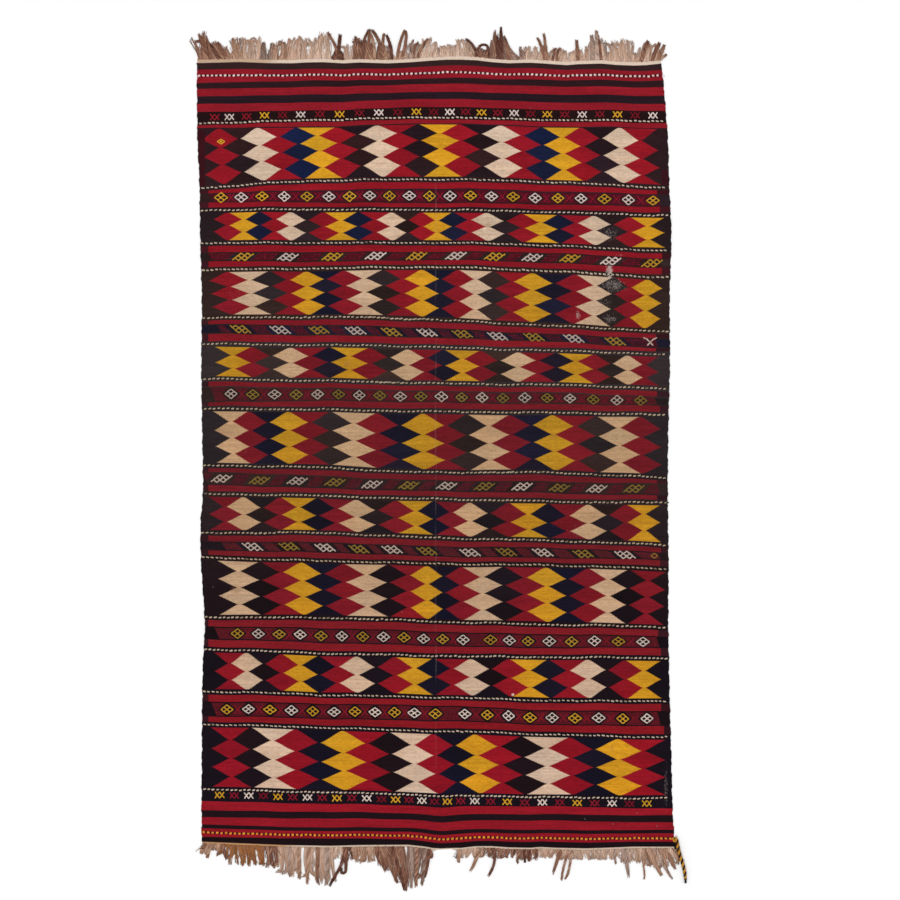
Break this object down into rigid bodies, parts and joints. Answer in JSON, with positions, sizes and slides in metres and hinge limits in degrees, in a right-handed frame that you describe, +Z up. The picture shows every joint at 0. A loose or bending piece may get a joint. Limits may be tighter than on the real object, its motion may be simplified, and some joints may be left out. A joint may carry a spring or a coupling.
{
  "type": "kilim rug",
  "caption": "Flat-woven kilim rug with lozenge and stripe bands, a fringed web at each end and a twisted tail at one corner.",
  "frame": {"origin": "middle of the underside of the cloth and its fringes, on the floor", "axes": "+X across the rug, +Y along it towards the head end, +Z up from the floor"},
  "size_m": [1.7946, 3.1476, 0.0136],
  "materials": {
    "woven_wool": "matte flat-woven wool in red, black, navy, gold and cream",
    "warp_wool": "matte undyed and tan warp wool, frayed",
    "plied_wool": "matte plied wool in gold and black"
  },
  "bodies": {
    "root": {"kilim_field": "woven_wool", "fringe_head": "warp_wool", "fringe_foot": "warp_wool", "corner_tail": "plied_wool"}
  },
  "joints": []
}
